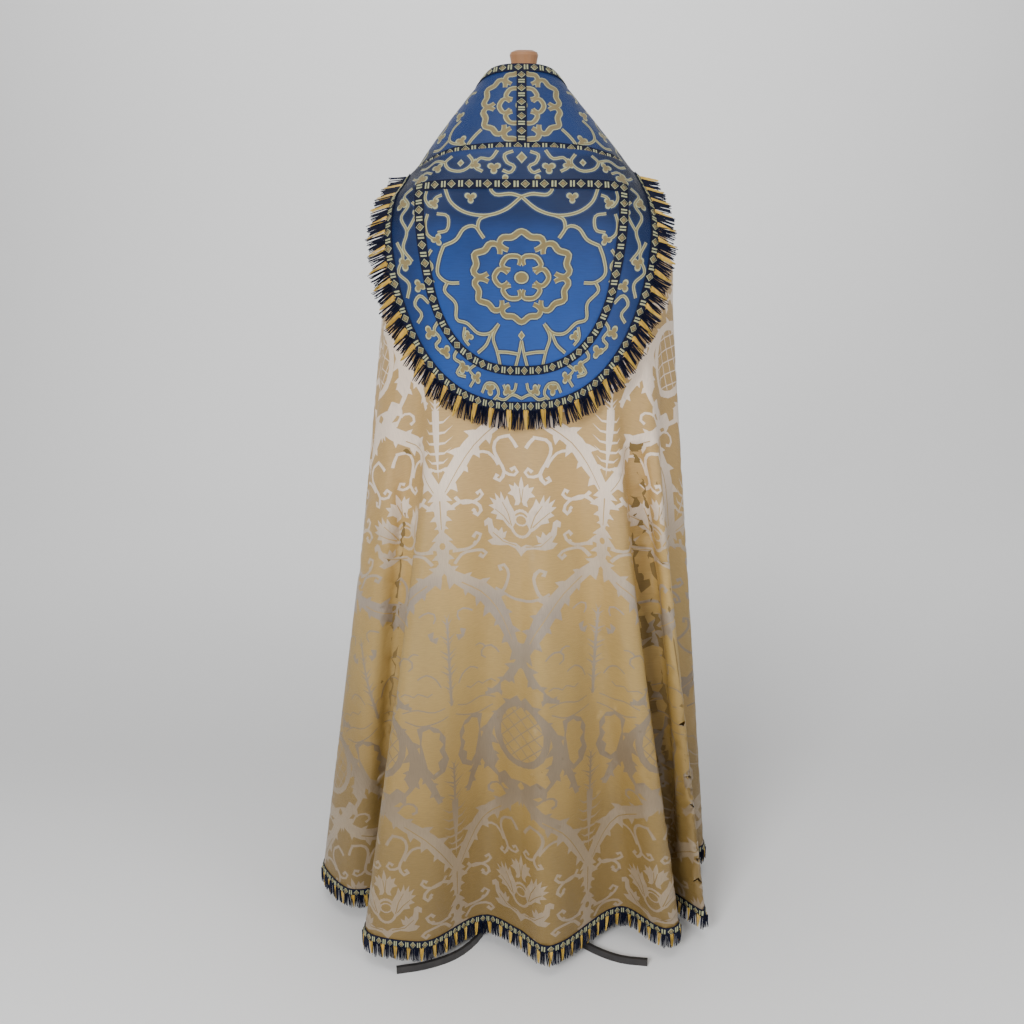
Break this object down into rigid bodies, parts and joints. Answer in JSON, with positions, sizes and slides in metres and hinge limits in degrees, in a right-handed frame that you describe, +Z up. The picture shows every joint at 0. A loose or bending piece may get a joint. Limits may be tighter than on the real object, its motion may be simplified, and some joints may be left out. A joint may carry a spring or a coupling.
{
  "type": "cope vestment on dress form stand",
  "caption": "Half circle gold damask cope with a blue orphrey, a shield hood and fringed edges, hung open at the front on a limbless dress form stand.",
  "frame": {"origin": "bottom centre of the bounding box, on the floor under the dress form", "axes": "+Z up, +Y towards the open front, -Y the wearer's back with the hood"},
  "size_m": [0.7735, 0.6823, 1.5558],
  "materials": {
    "gold_damask": "satin figure on a matt ground",
    "blue_silk": "lightly ribbed silk",
    "braid": "woven braid",
    "fringe": "silk fringe",
    "linen": "plain matt cloth",
    "wood": "turned, oiled",
    "iron": "dark satin paint"
  },
  "bodies": {
    "root": {"cope_body": "gold_damask", "orphrey_left": "blue_silk", "orphrey_right": "blue_silk", "edge_braid": "braid", "orphrey_braid": "braid", "centre_back_braid": "braid", "hood": "blue_silk", "hood_inner_braid": "braid", "hood_fringe": "fringe", "hem_fringe": "fringe", "morse": "blue_silk", "form_torso": "linen", "form_knob": "wood", "stand_pole": "iron", "stand_hub": "iron", "stand_leg_left": "iron", "stand_leg_right": "iron", "stand_leg_front": "iron"}
  },
  "joints": []
}
